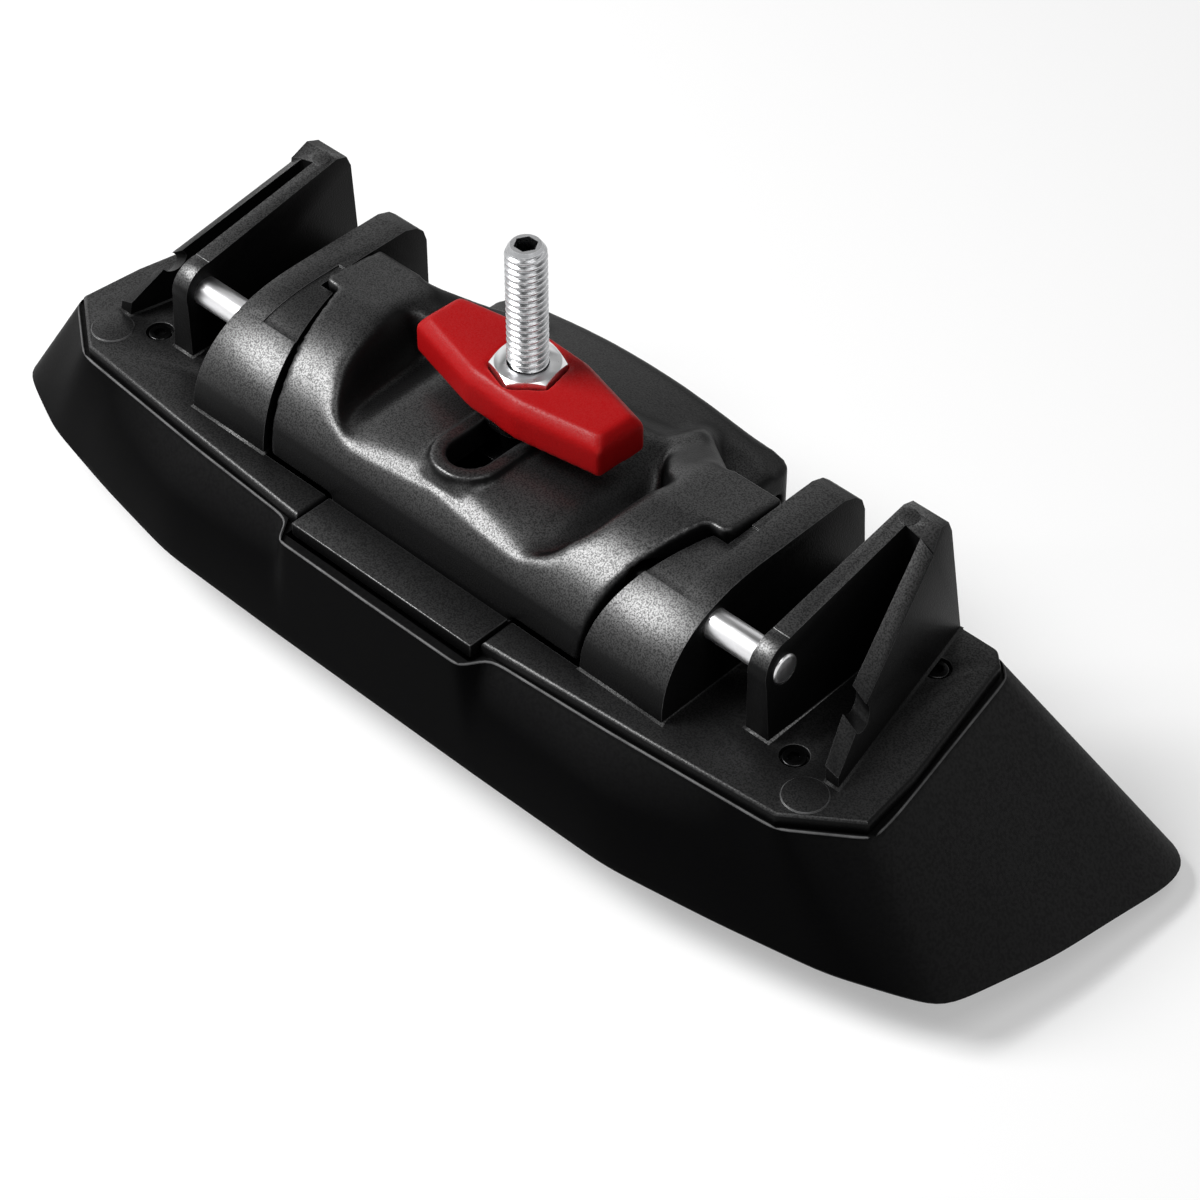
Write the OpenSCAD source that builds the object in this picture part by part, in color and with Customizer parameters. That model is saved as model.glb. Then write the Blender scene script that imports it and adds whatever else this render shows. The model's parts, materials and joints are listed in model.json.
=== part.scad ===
// Saddle knee block with a tilting clamp cradle.
// Lengths are in millimetres. The working origin lies on the plate top,
// at the middle of the cradle's front foot; place() moves it to the middle
// of the underside.

/* [Block] */
// height from the underside to the plate top
block_h = 42; // [38:0.5:48]
// half length of the block at its widest
block_half = 133.3; // [130:0.1:140]
// how far the front face stands before the cradle foot
front_reach = 15; // [14.6:0.1:16]
// how far the rear face stands behind the cradle foot
rear_reach = 76; // [74:0.5:80]
// lean of the widest outline towards the rear
belly_tilt = 6.4; // [4:0.1:8]
// how far the plate stands proud of the rim
rim_drop = 2.2; // [1.5:0.1:2.6]
// depth of the open tub under the plate
tub_depth = 28; // [22:0.5:29]

/* [Plate] */
// plate thickness
plate_t = 3; // [2.5:0.1:4]
// depth of the screw counterbores
cbore_d = 1.6; // [1.2:0.1:1.8]
// radius of the screw counterbores
cbore_r = 2.8; // [2.6:0.1:3.2]

/* [Hinge] */
// pivot axis behind the cradle foot
axis_y = 14.1; // [13:0.1:15]
// pivot axis above the plate
axis_z = 14; // [13:0.1:15]
// pivot pin radius
pin_r = 3; // [2.5:0.05:3.2]
// running clearance of the pin in the bushes
pin_run = 0.05; // [0.02:0.01:0.08]
// bush wall thickness
bush_t = 1; // [0.8:0.1:1.2]
// height of the hinge blocks
hinge_h = 20; // [18:0.5:22]
// outer face of the hinge blocks
hinge_out = 62.2; // [60:0.1:62.4]
// rear face of the hinge blocks
hinge_rear = 54.6; // [52:0.1:54.8]
// gap between cradle and hinge block along the shaft
side_gap = 1.6; // [1.2:0.1:2]
// rear face of the inner half of the hinge blocks
barrel_rear = 26.2; // [25:0.1:26.4]
// inner face of the rear plates of the hinge blocks
wall_in = 53.1; // [52.8:0.1:54]

/* [Cradle] */
// arch height over the plate
arch_h = 21.9; // [20:0.1:24]
// full depth of the arch that the front is part of
arch_d = 63.4; // [60:0.1:66]
// half width of the cradle at its front foot
cradle_half = 40.5; // [38:0.1:41]
// sideways flare of the cradle per unit of depth
flare = 0.29; // [0.2:0.01:0.3]
// half width of the rear tail
tail_half = 37.5; // [36:0.1:39]
// depth at which the arch meets the shoulder planes
shoulder_y = 26; // [24:0.1:28]
// depth at which the flared shoulders end
shoulder_end = 41.5; // [39:0.1:44]
// half width over the shoulders
shoulder_half = 52.6; // [51:0.1:52.8]
// fall of the shoulder planes towards the rear
shoulder_fall = 1.9; // [1:0.1:3]
// rear face of the tail
tail_rear = 63.2; // [61:0.1:64]
// height at which the tail leaves the shoulders
tail_h = 15; // [14:0.1:16]
// fall of the tail towards the rear, in degrees
tail_fall = 15.4; // [13:0.1:17]
// half width of the toe tab
toe_half = 23.8; // [20:0.1:24]
// length of the toe tab before the foot
toe_len = 10.1; // [8:0.1:10.5]
// half width of the stud slot
slot_half = 4.4; // [4.2:0.1:5]
// radius of the raised ring round the slot
ring_r = 7.6; // [7:0.1:8]

/* [Clamp] */
// stud radius
stud_r = 3.97; // [3.9:0.01:4]
// stud top above the plate
stud_top = 56.5; // [50:0.5:60]
// stud position behind the cradle foot
stud_y = 29.6; // [28:0.1:31]
// half length of the wing grip
wing_half = 25.2; // [23:0.1:27]
// half width of the wing grip at its middle
wing_mid = 9.8; // [9.5:0.1:11.5]
// half width of the wing grip at its ends
wing_end = 5.8; // [5:0.1:7]
// underside of the wing grip above the plate
wing_low = 20; // [19.8:0.1:21]
// wing grip thickness
wing_t = 8.4; // [7:0.1:10]
// nut width across flats
nut_af = 12.7; // [12:0.1:13]

/* [Hidden] */
$fn = 64;
y_mid = (rear_reach - front_reach) / 2;
slip = 0.02;
belly_z = 30;
foot_inset = 13;
mark_d = 0.35;
mark_y = 12.6;
mark_x = 54.8;
barrel_d = 58;
hinge_draft = 3.6;
lug_draft = 4.6;
swing_r = norm([barrel_rear - axis_y, hinge_h - axis_z]) + 0.3;
slot_front = 14.2;
slot_rear = 38;
toe_sink = 10;
tail_round = 4;
tail_crown = 146;
lip_front = 59.2;
lip_low = 4.5;
lip_top = 4;
dish_r = 14;
toe_groove = 0.35;
lug_slope = atan2(6.2, 34.4);
ring_top = 16.9;
floor_r = 80;
floor_tilt = 1.7;
floor_z = 14.9;
pin_in = 34.2;
lug_in = 73.4;
lug_out = 78.8;
pin_out = lug_out - 0.9;
fin_lean = 8.1;
fin_turn = 77.4;
slider_top = 10.3;
neck_r = 3.6;
stud_lead = 1.6;
wing_turned = -2.8;
nut_turned = -16;
nut_h = 7.8;
wing_flat = 6.5;
nut_room = 0.35;
head_r = 2.3;
free_low = wing_low + 9.6;
bush_r = pin_r + pin_run + bush_t;
nut_r = nut_af / sqrt(3);
screw_pos = [[84.2, 10], [88.3, 44]];
hinge_screw_pos = [[57, 10], [57.9, 40]];
lug_screw_pos = [76.1, 35];

// half outlines run from the front middle to the rear middle
rim_half = [[27, -front_reach], [50, -11.4], [65, -8.6], [92, -5], [106.6, 6.4],
  [105, 21.4], [98, 53.8], [94.8, 56.4], [20, 57]];
mouth_half = [[26, -13.6], [27.4, -11.6], [49.8, -10.4], [64.6, -7.7], [91.7, -4.1],
  [105.7, 6.7], [104.1, 21.3], [97.2, 53.5], [94.3, 55.7], [20, 56.2]];
low_half = [[30, -13.6], [60, -13.2], [83, -9], [105, -4], [119, 2.2], [125, 5.5],
  [block_half - 3, 29.8], [block_half - 1.2, 49], [block_half, 59],
  [block_half - 1.7, 67.2], [block_half - 7, 70.5], [80, 73.4], [30, rear_reach]];
pocket_half = [[22, -2], [25.4, 4.3], [28.7, 5.8], [30.7, 8.2], [33.5, 14.3],
  [34.8, 26], [36, 31], [36, shoulder_end + 1]];
// tops along the ridge between shoulder and tail
ridge_pts = [[36, 32, 20], [40, 40, 19.8], [31.2, 34, 19], [27.4, 38.4, 16.6],
  [23.6, 45.4, 13.6], [36.4, 43.6, 17.6], [26.6, 51.2, 12.8], [22.4, 54.6, 10.4]];
plate_half = [[24.5, -10.1], [50, -9.2], [62.4, -6.4], [91, -2.8],
  [104, 6.8], [102.6, 21], [96.2, 52.6], [93.6, 55], [20, 55.2]];

function mirrored(p) = concat(p, [for (i = [len(p) - 1 : -1 : 0]) [-p[i][0], p[i][1]]]);
// moves an outline towards its own middle by k on every side
function inset(p, k) = [for (q = p)
  [q[0] - sign(q[0]) * k, q[1] + k * max(-1, min(1, (y_mid - q[1]) / 25))]];
function unit(v) = v / norm(v);
// cuts every corner of a closed outline back by c along both sides
function eased(p, c) = [for (i = [0 : len(p) - 1])
  let (a = p[(i + len(p) - 1) % len(p)], b = p[i], d = p[(i + 1) % len(p)])
  each [b + unit(a - b) * min(c, norm(a - b) / 3), b + unit(d - b) * min(c, norm(d - b) / 3)]];
function arch_z(y, d, h) =
  h * pow(max(0, 1 - pow(abs(2 * y / d - 1), 2.5)), 1 / 2.1);
// the arch from its front foot up to depth y1
function arch_pts(d, h, y1) = [for (i = [0 : 24])
  let (y = y1 * (1 - cos(i * 3.75))) [y, arch_z(y, d, h)]];

// moves the working origin to the middle of the underside
module place() {
  translate([0, -y_mid, block_h])
    children();
}

// extrudes a side profile given as [y, z] points from x0 to x1
module along_x(x0, x1) {
  translate([x0, 0, 0])
    rotate([90, 0, 90])
      linear_extrude(x1 - x0)
        children();
}

// lays a cylinder along the shaft direction
module rod_x(r, x0, x1) {
  translate([x0, axis_y, axis_z])
    rotate([0, 90, 0])
      cylinder(r = r, h = x1 - x0);
}

// draws its child on the right and again on the left
module both() {
  children();
  mirror([1, 0, 0])
    children();
}

module slice(pts, z) {
  translate([0, 0, z])
    linear_extrude(0.01)
      polygon(pts);
}

// the same slice leaning down towards the rear
module lean_slice(pts, z) {
  translate([0, 0, z])
    rotate([-belly_tilt, 0, 0])
      linear_extrude(0.01)
        polygon(pts);
}

module shell_body() {
  low = eased(eased(mirrored(low_half), 6), 2);
  hull() {
    slice(eased(mirrored(rim_half), 2.4), -rim_drop - 0.01);
    lean_slice(low, -belly_z);
    lean_slice(inset(low, 0.8), -belly_z - 1.5);
    lean_slice(inset(low, 3), -belly_z - 3);
    slice(inset(low, foot_inset), -block_h);
  }
}

module block_shell() color("#141414") place() {
  difference() {
    shell_body();
    translate([0, 0, -plate_t])
      linear_extrude(plate_t + 1)
        polygon(mirrored(mouth_half));
    translate([0, 0, -tub_depth])
      linear_extrude(tub_depth)
        polygon(inset(mirrored(plate_half), 2));
    translate([-toe_half - 1, -toe_len - 0.9, -toe_sink])
      cube([2 * toe_half + 2, 12, toe_sink]);
  }
  both()
    for (p = screw_pos)
      translate([p[0], p[1], -tub_depth - 1])
        difference() {
          cylinder(r = 4.6, h = tub_depth + 1 - plate_t);
          translate([0, 0, tub_depth - 11])
            cylinder(r = 2.3, h = 12);
        }
}

module plate_window() {
  translate([0, 0, -plate_t - 1])
    linear_extrude(plate_t + 2)
      polygon(mirrored([[24.5, -12], [24.5, -0.4], [41.8, -0.4], [54.1, 43],
        [40.5, 43], [40.5, 50.5]]));
}

module base_plate() color("#1c1c1c") place() {
  difference() {
    union() {
      translate([0, 0, -plate_t])
        linear_extrude(plate_t)
          polygon(mirrored(plate_half));
      both()
        translate([91.8, 4.2, 0])
          cylinder(r = 4.3, h = 0.25);
    }
    plate_window();
    both() {
      for (p = screw_pos) {
        translate([p[0], p[1], -cbore_d])
          cylinder(r = cbore_r, h = 4);
        translate([p[0], p[1], -plate_t - 1])
          cylinder(r = 1.8, h = 4);
      }
      for (p = hinge_screw_pos)
        translate([p[0], p[1], -plate_t - 1])
          cylinder(r = 1.6, h = 5);
      translate([lug_screw_pos[0], lug_screw_pos[1], -plate_t - 1])
        cylinder(r = 1.4, h = 5);
    }
  }
}

// side profile of a hinge block: a round barrel that runs into a flat top
module hinge_profile() {
  polygon(concat([for (p = arch_pts(barrel_d, hinge_h, barrel_d / 2)) p - [0.5, 0]],
    [[hinge_rear - 5.6, hinge_h], [hinge_rear - 2.6, hinge_h - 1.1],
      [hinge_rear - 0.8, hinge_h - 2.8], [hinge_rear, hinge_h - 5.4], [hinge_rear, 0]]));
}

// a wall's outer face, leaning inwards by its moulding draft
module draft_cut(x, angle) {
  translate([x, -10, 0])
    rotate([0, -angle, 0])
      translate([0, 0, -5])
        cube([15, 80, 50]);
}

module hinge_half() {
  difference() {
    along_x(cradle_half + side_gap, hinge_out)
      hinge_profile();
    translate([0, 0, -1])
      linear_extrude(hinge_h + 2)
        polygon([[0, -20], [cradle_half + side_gap - 20 * flare, -20],
          [cradle_half + side_gap + barrel_rear * flare, barrel_rear],
          [wall_in, barrel_rear], [wall_in, 60], [0, 60]]);
    draft_cut(hinge_out, hinge_draft);
    rod_x(pin_r + slip, 30, 90);
    for (p = hinge_screw_pos)
      translate([p[0], p[1], -1])
        cylinder(r = 1.55, h = 10.5);
    along_x(40, mark_x)
      difference() {
        translate([mark_y, hinge_h / 2])
          square([20, hinge_h]);
        translate([0, -mark_d])
          hinge_profile();
      }
  }
}

module hinge_block_left() color("#1e1e1e") place()
  mirror([1, 0, 0])
    hinge_half();

module hinge_block_right() color("#1e1e1e") place()
  hinge_half();

// upright lug with its braced fin: the two meet at the rear top
module lug_half() {
  difference() {
    union() {
      difference() {
        along_x(lug_in, lug_out)
          union() {
            polygon([[9.2, 0], [9.2, 13.8], [15.6, 20.2], [50, 26.4], [52.6, 25.6],
              [53.6, 23], [54.8, 0]]);
            translate([15, 14.2])
              circle(r = 5.95);
          }
        draft_cut(lug_out, lug_draft);
      }
      along_x(lug_out - 3, 84.6)
        polygon([[46.6, 0], [46.6, 25.78], [50, 26.4], [52.6, 25.6], [53.6, 23], [54.8, 0]]);
      fin();
      translate([(lug_in + lug_out) / 2, 48.4, 25.7])
        rotate([lug_slope, 0, 0])
          cylinder(r = 1.9, h = 0.6);
    }
    rod_x(pin_r + slip, 60, 85);
    translate([lug_screw_pos[0], lug_screw_pos[1], -1])
      cylinder(r = 1.35, h = 10.5);
    fin_outside();
    translate([lug_out + 3, 18.8, 10.4])
      rotate([0, 90, 0])
        cylinder(r = 2.6, h = 20);
  }
}

// slanted slab; runs from the rear apex forward and outward to its foot
module fin() {
  intersection() {
    translate([84.9, 54.8, 0])
      rotate([0, 0, -fin_turn])
        rotate([fin_lean, 0, 0])
          translate([0, -4.2, -2])
            cube([60, 4.2, 40]);
    along_x(lug_out - 4, 100)
      polygon([[9.2, 0], [9.4, 3.4], [15.4, 8.4], [20.2, 12.4], [50, 26.4],
        [52.6, 25.6], [53.6, 23], [54.8, 0]]);
  }
}

// everything beyond the fin's outer face
module fin_outside() {
  translate([84.9, 54.8, 0])
    rotate([0, 0, -fin_turn])
      rotate([fin_lean, 0, 0])
        translate([-30, 0, -5])
          cube([110, 20, 60]);
}

module guide_lug_left() color("#1e1e1e") place()
  mirror([1, 0, 0])
    lug_half();

module guide_lug_right() color("#1e1e1e") place()
  lug_half();

module pivot_pin_left() color("#b9bcc0") place()
  rod_x(pin_r, -pin_out, -pin_in);

module pivot_pin_right() color("#b9bcc0") place()
  rod_x(pin_r, pin_in, pin_out);

// crowned bed under the wing grip
module pocket_bed() {
  translate([0, -10, floor_z - floor_r])
    rotate([floor_tilt - 90, 0, 0])
      cylinder(r = floor_r, h = 56, $fn = 180);
}

// one stage of the recess between two heights, its sides leaning outwards
module pocket_stage(z0, z1, k0, k1) {
  translate([0, 0, z0])
    linear_extrude(z1 - z0, scale = [k1 / k0, 1], slices = 1, $fn = 4)
      scale([k0, 1])
        polygon(mirrored(pocket_half));
}

// open recess that the wing grip turns in; its sides hollow out into the bed
module cradle_pocket() {
  difference() {
    union() {
      pocket_stage(7, 13.01, 0.74, 0.91);
      pocket_stage(13, 23.01, 0.91, 1);
      pocket_stage(23, 40, 1, 1.1);
    }
    pocket_bed();
  }
}

// front arch that runs into two falling shoulder planes
module cradle_front() {
  intersection() {
    along_x(-60, 60)
      polygon(concat([[shoulder_end, 0]], arch_pts(arch_d, arch_h, shoulder_y),
        [[shoulder_end, arch_z(shoulder_y, arch_d, arch_h) - shoulder_fall]]));
    linear_extrude(40)
      polygon(mirrored([[cradle_half - 5 * flare, -5],
        [cradle_half + shoulder_y * flare, shoulder_y + 0.4],
        [shoulder_half - 1.4, shoulder_y + 0.4],
        [shoulder_half, shoulder_y + 2], [shoulder_half, shoulder_end]]));
  }
}

module tail_plan() {
  translate([-tail_half, shoulder_end - 1])
    square([2 * tail_half, tail_rear - tail_round - shoulder_end + 1]);
  for (sx = [-1, 1])
    translate([sx * (tail_half - tail_round), tail_rear - tail_round])
      circle(r = tail_round);
  translate([-tail_half + tail_round, shoulder_end])
    square([2 * (tail_half - tail_round), tail_rear - shoulder_end]);
}

// lip that hangs from the tail behind the rim
module tail_lip() {
  intersection() {
    translate([0, 0, -lip_low])
      linear_extrude(lip_low + lip_top)
        tail_plan();
    translate([-tail_half - 1, lip_front, -lip_low - 1])
      cube([2 * tail_half + 2, 10, 20]);
  }
}

// low crowned tail behind the bed, falling towards the rear
module cradle_tail() {
  difference() {
    intersection() {
      linear_extrude(20)
        tail_plan();
      translate([0, shoulder_end, tail_h])
        rotate([-tail_fall, 0, 0])
          translate([0, -30, -tail_crown])
            rotate([-90, 0, 0])
              cylinder(r = tail_crown, h = 80, $fn = 180);
    }
    both()
      translate([33, 50.5, dish_r + 6.2])
        sphere(r = dish_r);
  }
}

// ridge that runs from the shoulder inwards and down to the tail
module ridge() {
  hull()
    for (p = ridge_pts)
      translate([p[0], p[1], 5])
        cylinder(r = 0.8, h = p[2] - 5, $fn = 16);
}

module slot_bar(r, z0, z1) {
  translate([0, 0, z0]) {
    translate([0, slot_front, 0])
      cylinder(r = r, h = z1 - z0);
    translate([0, slot_rear, 0])
      cylinder(r = r, h = z1 - z0);
    translate([-r, slot_front, 0])
      cube([2 * r, slot_rear - slot_front, z1 - z0]);
  }
}

module cradle() color("#202020") place() {
  difference() {
    union() {
      translate([0, 0, 0.2]) {
        difference() {
          cradle_front();
          translate([0, 0, -0.2])
            cradle_pocket();
        }
        cradle_tail();
        tail_lip();
        both()
          ridge();
      }
      intersection() {
        pocket_bed();
        translate([-24, 30, 8])
          cube([48, 16, 12]);
      }
      intersection() {
        slot_bar(ring_r, 11, ring_top);
        translate([-10, 4.5, 0])
          cube([20, 60, 40]);
      }
      translate([-toe_half, -toe_len, -plate_t])
        cube([2 * toe_half, toe_len + 6, plate_t]);
      translate([-toe_half, 0.6, -plate_t])
        cube([2 * toe_half, 5.4, plate_t + 3]);
    }
    slot_bar(slot_half, 0, 30);
    translate([-20, 6, -10])
      cube([40, 39.5, 10 + slider_top + 0.2]);
    translate([-toe_half - 1, -toe_groove, -0.6])
      cube([2 * toe_half + 2, toe_groove, 0.8]);
    both() {
      rod_x(bush_r + slip, pin_in, 60);
      rod_x(swing_r, cradle_half + shoulder_y * flare, 60);
    }
  }
}

module bush_half() {
  difference() {
    rod_x(bush_r, pin_in + 0.5, 43.2);
    rod_x(pin_r + pin_run, 30, 50);
  }
}

module bush_left() color("#8c7a4a") place()
  mirror([1, 0, 0])
    bush_half();

module bush_right() color("#8c7a4a") place()
  bush_half();

module stud_slider() color("#8f9398") place() {
  difference() {
    union() {
      translate([-9, stud_y - 9, slider_top - 4])
        cube([18, 18, 4]);
      for (sy = [-2, 2])
        translate([0, stud_y + sy, slider_top - 1])
          cylinder(r = slot_half - 0.2, h = 6);
      translate([-slot_half + 0.2, stud_y - 2, slider_top - 1])
        cube([2 * slot_half - 0.4, 4, 6]);
    }
    translate([0, stud_y, 0])
      cylinder(r = neck_r + slip, h = 30);
  }
}

// necked below so that only the free upper length carries the full radius
module clamp_stud() color("#cfd2d6") place() {
  difference() {
    union() {
      translate([0, stud_y, 2])
        cylinder(r = neck_r, h = free_low - 1);
      translate([0, stud_y, free_low])
        cylinder(r = stud_r, h = stud_top - free_low - stud_lead);
      translate([0, stud_y, stud_top - stud_lead])
        cylinder(r1 = stud_r, r2 = stud_r - 1.05, h = stud_lead);
    }
    translate([0, stud_y, stud_top - 4])
      cylinder(r = 2.31, h = 5, $fn = 6);
  }
}

module stud_lock_nut() color("#cfd2d6") place()
  translate([0, stud_y, 2.2])
    difference() {
      cylinder(r = nut_r, h = 4, $fn = 6);
      translate([0, 0, -1])
        cylinder(r = neck_r + slip, h = 6);
    }

module clamp_washer() color("#b9bcc0") place()
  translate([0, stud_y, ring_top + 0.1])
    difference() {
      cylinder(r = 8.5, h = wing_low - ring_top - 0.2);
      translate([0, 0, -1])
        cylinder(r = stud_r + 0.4, h = 6);
    }

module wing_plan(k) {
  polygon(mirrored([[wing_flat - k * 0.3, -wing_mid + k], [wing_half - k, -wing_end + k],
    [wing_half - k, wing_end - k], [wing_flat - k * 0.3, wing_mid - k]]));
}

module wing_grip() color("#c31c20") place()
  translate([0, stud_y, wing_low])
    rotate(wing_turned)
      difference() {
        hull() {
          linear_extrude(wing_t - 2.2)
            wing_plan(0);
          linear_extrude(wing_t)
            wing_plan(1.8);
        }
        translate([0, 0, 1.5])
          rotate(nut_turned)
            cylinder(r = nut_r + nut_room, h = 10, $fn = 6);
        translate([0, 0, -1])
          cylinder(r = stud_r + 0.6, h = 10);
      }

// hexagon nut with its upper corners turned off
module wing_nut() color("#d8dade") place()
  translate([0, stud_y, wing_low + 1.52])
    difference() {
      intersection() {
        rotate(wing_turned + nut_turned)
          cylinder(r = nut_r, h = nut_h, $fn = 6);
        cylinder(r1 = nut_af / 2 + nut_h * sqrt(3), r2 = nut_af / 2, h = nut_h);
      }
      translate([0, 0, -1])
        cylinder(r = stud_r + 0.05, h = 12);
    }

// countersunk-in screw with a six-sided drive
module plate_screw(i, s) {
  translate([s * screw_pos[i][0], screw_pos[i][1], -cbore_d + 0.02])
    difference() {
      union() {
        cylinder(r = head_r, h = 1.35);
        translate([0, 0, -10])
          cylinder(r = 1.5, h = 10.5);
      }
      translate([0, 0, 0.4])
        cylinder(r = 1.35, h = 2, $fn = 6);
    }
}

module plate_screw_fl() color("#3a3a3c") place() plate_screw(0, -1);
module plate_screw_fr() color("#3a3a3c") place() plate_screw(0, 1);
module plate_screw_rl() color("#3a3a3c") place() plate_screw(1, -1);
module plate_screw_rr() color("#3a3a3c") place() plate_screw(1, 1);

// ribless sleeve that the plate screw runs into
module screw_insert(i, s) {
  translate([s * screw_pos[i][0], screw_pos[i][1], -plate_t - 8.5])
    difference() {
      cylinder(r = 2.28, h = 8.3);
      translate([0, 0, -1])
        cylinder(r = 1.53, h = 11);
    }
}

module screw_insert_fl() color("#b08d3e") place() screw_insert(0, -1);
module screw_insert_fr() color("#b08d3e") place() screw_insert(0, 1);
module screw_insert_rl() color("#b08d3e") place() screw_insert(1, -1);
module screw_insert_rr() color("#b08d3e") place() screw_insert(1, 1);

// screw driven up through the plate from below
module up_screw(x, y, r) {
  translate([x, y, -plate_t - 2]) {
    cylinder(r = r + 1.3, h = 1.98);
    cylinder(r = r, h = plate_t + 10);
  }
}

module hinge_screw_fl() color("#3a3a3c") place()
  up_screw(-hinge_screw_pos[0][0], hinge_screw_pos[0][1], 1.5);
module hinge_screw_fr() color("#3a3a3c") place()
  up_screw(hinge_screw_pos[0][0], hinge_screw_pos[0][1], 1.5);
module hinge_screw_rl() color("#3a3a3c") place()
  up_screw(-hinge_screw_pos[1][0], hinge_screw_pos[1][1], 1.5);
module hinge_screw_rr() color("#3a3a3c") place()
  up_screw(hinge_screw_pos[1][0], hinge_screw_pos[1][1], 1.5);
module lug_screw_left() color("#3a3a3c") place()
  up_screw(-lug_screw_pos[0], lug_screw_pos[1], 1.3);
module lug_screw_right() color("#3a3a3c") place()
  up_screw(lug_screw_pos[0], lug_screw_pos[1], 1.3);

block_shell();
base_plate();
hinge_block_left();
hinge_block_right();
guide_lug_left();
guide_lug_right();
pivot_pin_left();
pivot_pin_right();
cradle();
bush_left();
bush_right();
stud_slider();
clamp_stud();
stud_lock_nut();
clamp_washer();
wing_grip();
wing_nut();
plate_screw_fl();
plate_screw_fr();
plate_screw_rl();
plate_screw_rr();
screw_insert_fl();
screw_insert_fr();
screw_insert_rl();
screw_insert_rr();
hinge_screw_fl();
hinge_screw_fr();
hinge_screw_rl();
hinge_screw_rr();
lug_screw_left();
lug_screw_right();
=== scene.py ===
import bmesh
import bpy
import json
import math
import numpy as np
from mathutils import Matrix, Vector


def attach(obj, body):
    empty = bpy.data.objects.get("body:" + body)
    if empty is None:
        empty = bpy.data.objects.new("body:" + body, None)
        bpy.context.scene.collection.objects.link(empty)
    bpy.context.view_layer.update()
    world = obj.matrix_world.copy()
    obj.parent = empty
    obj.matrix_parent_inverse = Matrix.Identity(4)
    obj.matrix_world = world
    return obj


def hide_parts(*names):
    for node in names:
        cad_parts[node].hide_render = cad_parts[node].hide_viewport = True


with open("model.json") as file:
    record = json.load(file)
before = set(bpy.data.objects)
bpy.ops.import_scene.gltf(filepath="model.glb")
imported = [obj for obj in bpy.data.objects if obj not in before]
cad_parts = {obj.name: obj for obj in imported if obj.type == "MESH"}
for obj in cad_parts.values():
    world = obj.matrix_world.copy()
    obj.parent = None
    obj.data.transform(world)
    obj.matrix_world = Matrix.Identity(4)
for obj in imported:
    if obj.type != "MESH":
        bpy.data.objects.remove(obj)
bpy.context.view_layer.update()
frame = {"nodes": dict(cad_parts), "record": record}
nodes = frame["nodes"]
scene = bpy.context.scene
scene.view_settings.view_transform = "Standard"
print("frame loaded:", len(nodes), "solids")

# millimetres from the middle of the cradle's front foot on the plate top
origin = {"back": 30.5, "up": 42.0}
screwSpots = [(84.2, 10), (88.3, 44)]  # plate screws of the right half
hexSides = 6


def at(x, y, z):
    return Vector((x, y - origin["back"], z + origin["up"])) / 1000


def bothSides(spots):
    return [(side * x, y) for x, y in spots for side in (-1, 1)]


# camera
camSet = {"eye": (348.7, -315.7, 441.2), "lens": 104.07, "sensor": 36.0, "clip": 0.01,
          "right": (0.7226, 0.6913, 0.0), "up": (-0.4799, 0.5016, 0.7198),
          "back": (0.4976, -0.5201, 0.6942)}


def makeCamera():
    s = camSet
    data = bpy.data.cameras.new("photoCamera")
    data.lens = s["lens"]
    data.sensor_width = s["sensor"]
    data.sensor_fit = "HORIZONTAL"
    data.clip_start = s["clip"]
    cam = bpy.data.objects.new("photoCamera", data)
    scene.collection.objects.link(cam)
    turn = Matrix((s["right"], s["up"], s["back"])).transposed().to_4x4()
    cam.matrix_world = Matrix.Translation(at(*s["eye"])) @ turn
    scene.camera = cam


makeCamera()


# nodes that the shader groups and materials share
def newGroup(name, inputs, outputs):
    group = bpy.data.node_groups.new(name, "ShaderNodeTree")
    group.interface.new_socket("Vector", in_out="INPUT", socket_type="NodeSocketVector")
    for labels, way in ((inputs, "INPUT"), (outputs, "OUTPUT")):
        for label in labels:
            group.interface.new_socket(label, in_out=way, socket_type="NodeSocketFloat")
    return group, group.nodes.new("NodeGroupInput"), group.nodes.new("NodeGroupOutput")


def feed(tree, socket, value):
    if isinstance(value, (int, float)):
        socket.default_value = value
    else:
        tree.links.new(value, socket)


def mathNode(tree, op, a, b=None, clamp=False):
    n = tree.nodes.new("ShaderNodeMath")
    n.operation = op
    n.use_clamp = clamp
    feed(tree, n.inputs[0], a)
    if b is not None:
        feed(tree, n.inputs[1], b)
    return n.outputs[0]


def noiseNode(tree, vector, scale, detail, rough):
    n = tree.nodes.new("ShaderNodeTexNoise")
    n.inputs["Detail"].default_value = detail
    n.inputs["Roughness"].default_value = rough
    tree.links.new(vector, n.inputs["Vector"])
    feed(tree, n.inputs["Scale"], scale)
    return n.outputs["Fac"]


def mapRange(tree, value, source, target):
    n = tree.nodes.new("ShaderNodeMapRange")
    for label, end in zip(("From Min", "From Max", "To Min", "To Max"), (*source, *target)):
        feed(tree, n.inputs[label], end)
    tree.links.new(value, n.inputs["Value"])
    return n.outputs["Result"]


def attribute(tree, name):
    n = tree.nodes.new("ShaderNodeAttribute")
    n.attribute_name = name
    return n.outputs["Fac"]


def shared(tree, a, b, share):
    first = mathNode(tree, "MULTIPLY", a, share)
    return mathNode(tree, "ADD", first, mathNode(tree, "MULTIPLY", b, 1 - share))


# spark-eroded mould texture: a fine pebble over a slow cloud
grainSet = {"fine": (2.0, 0.6), "cloud": (3.0, 0.5), "share": 0.6}


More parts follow.
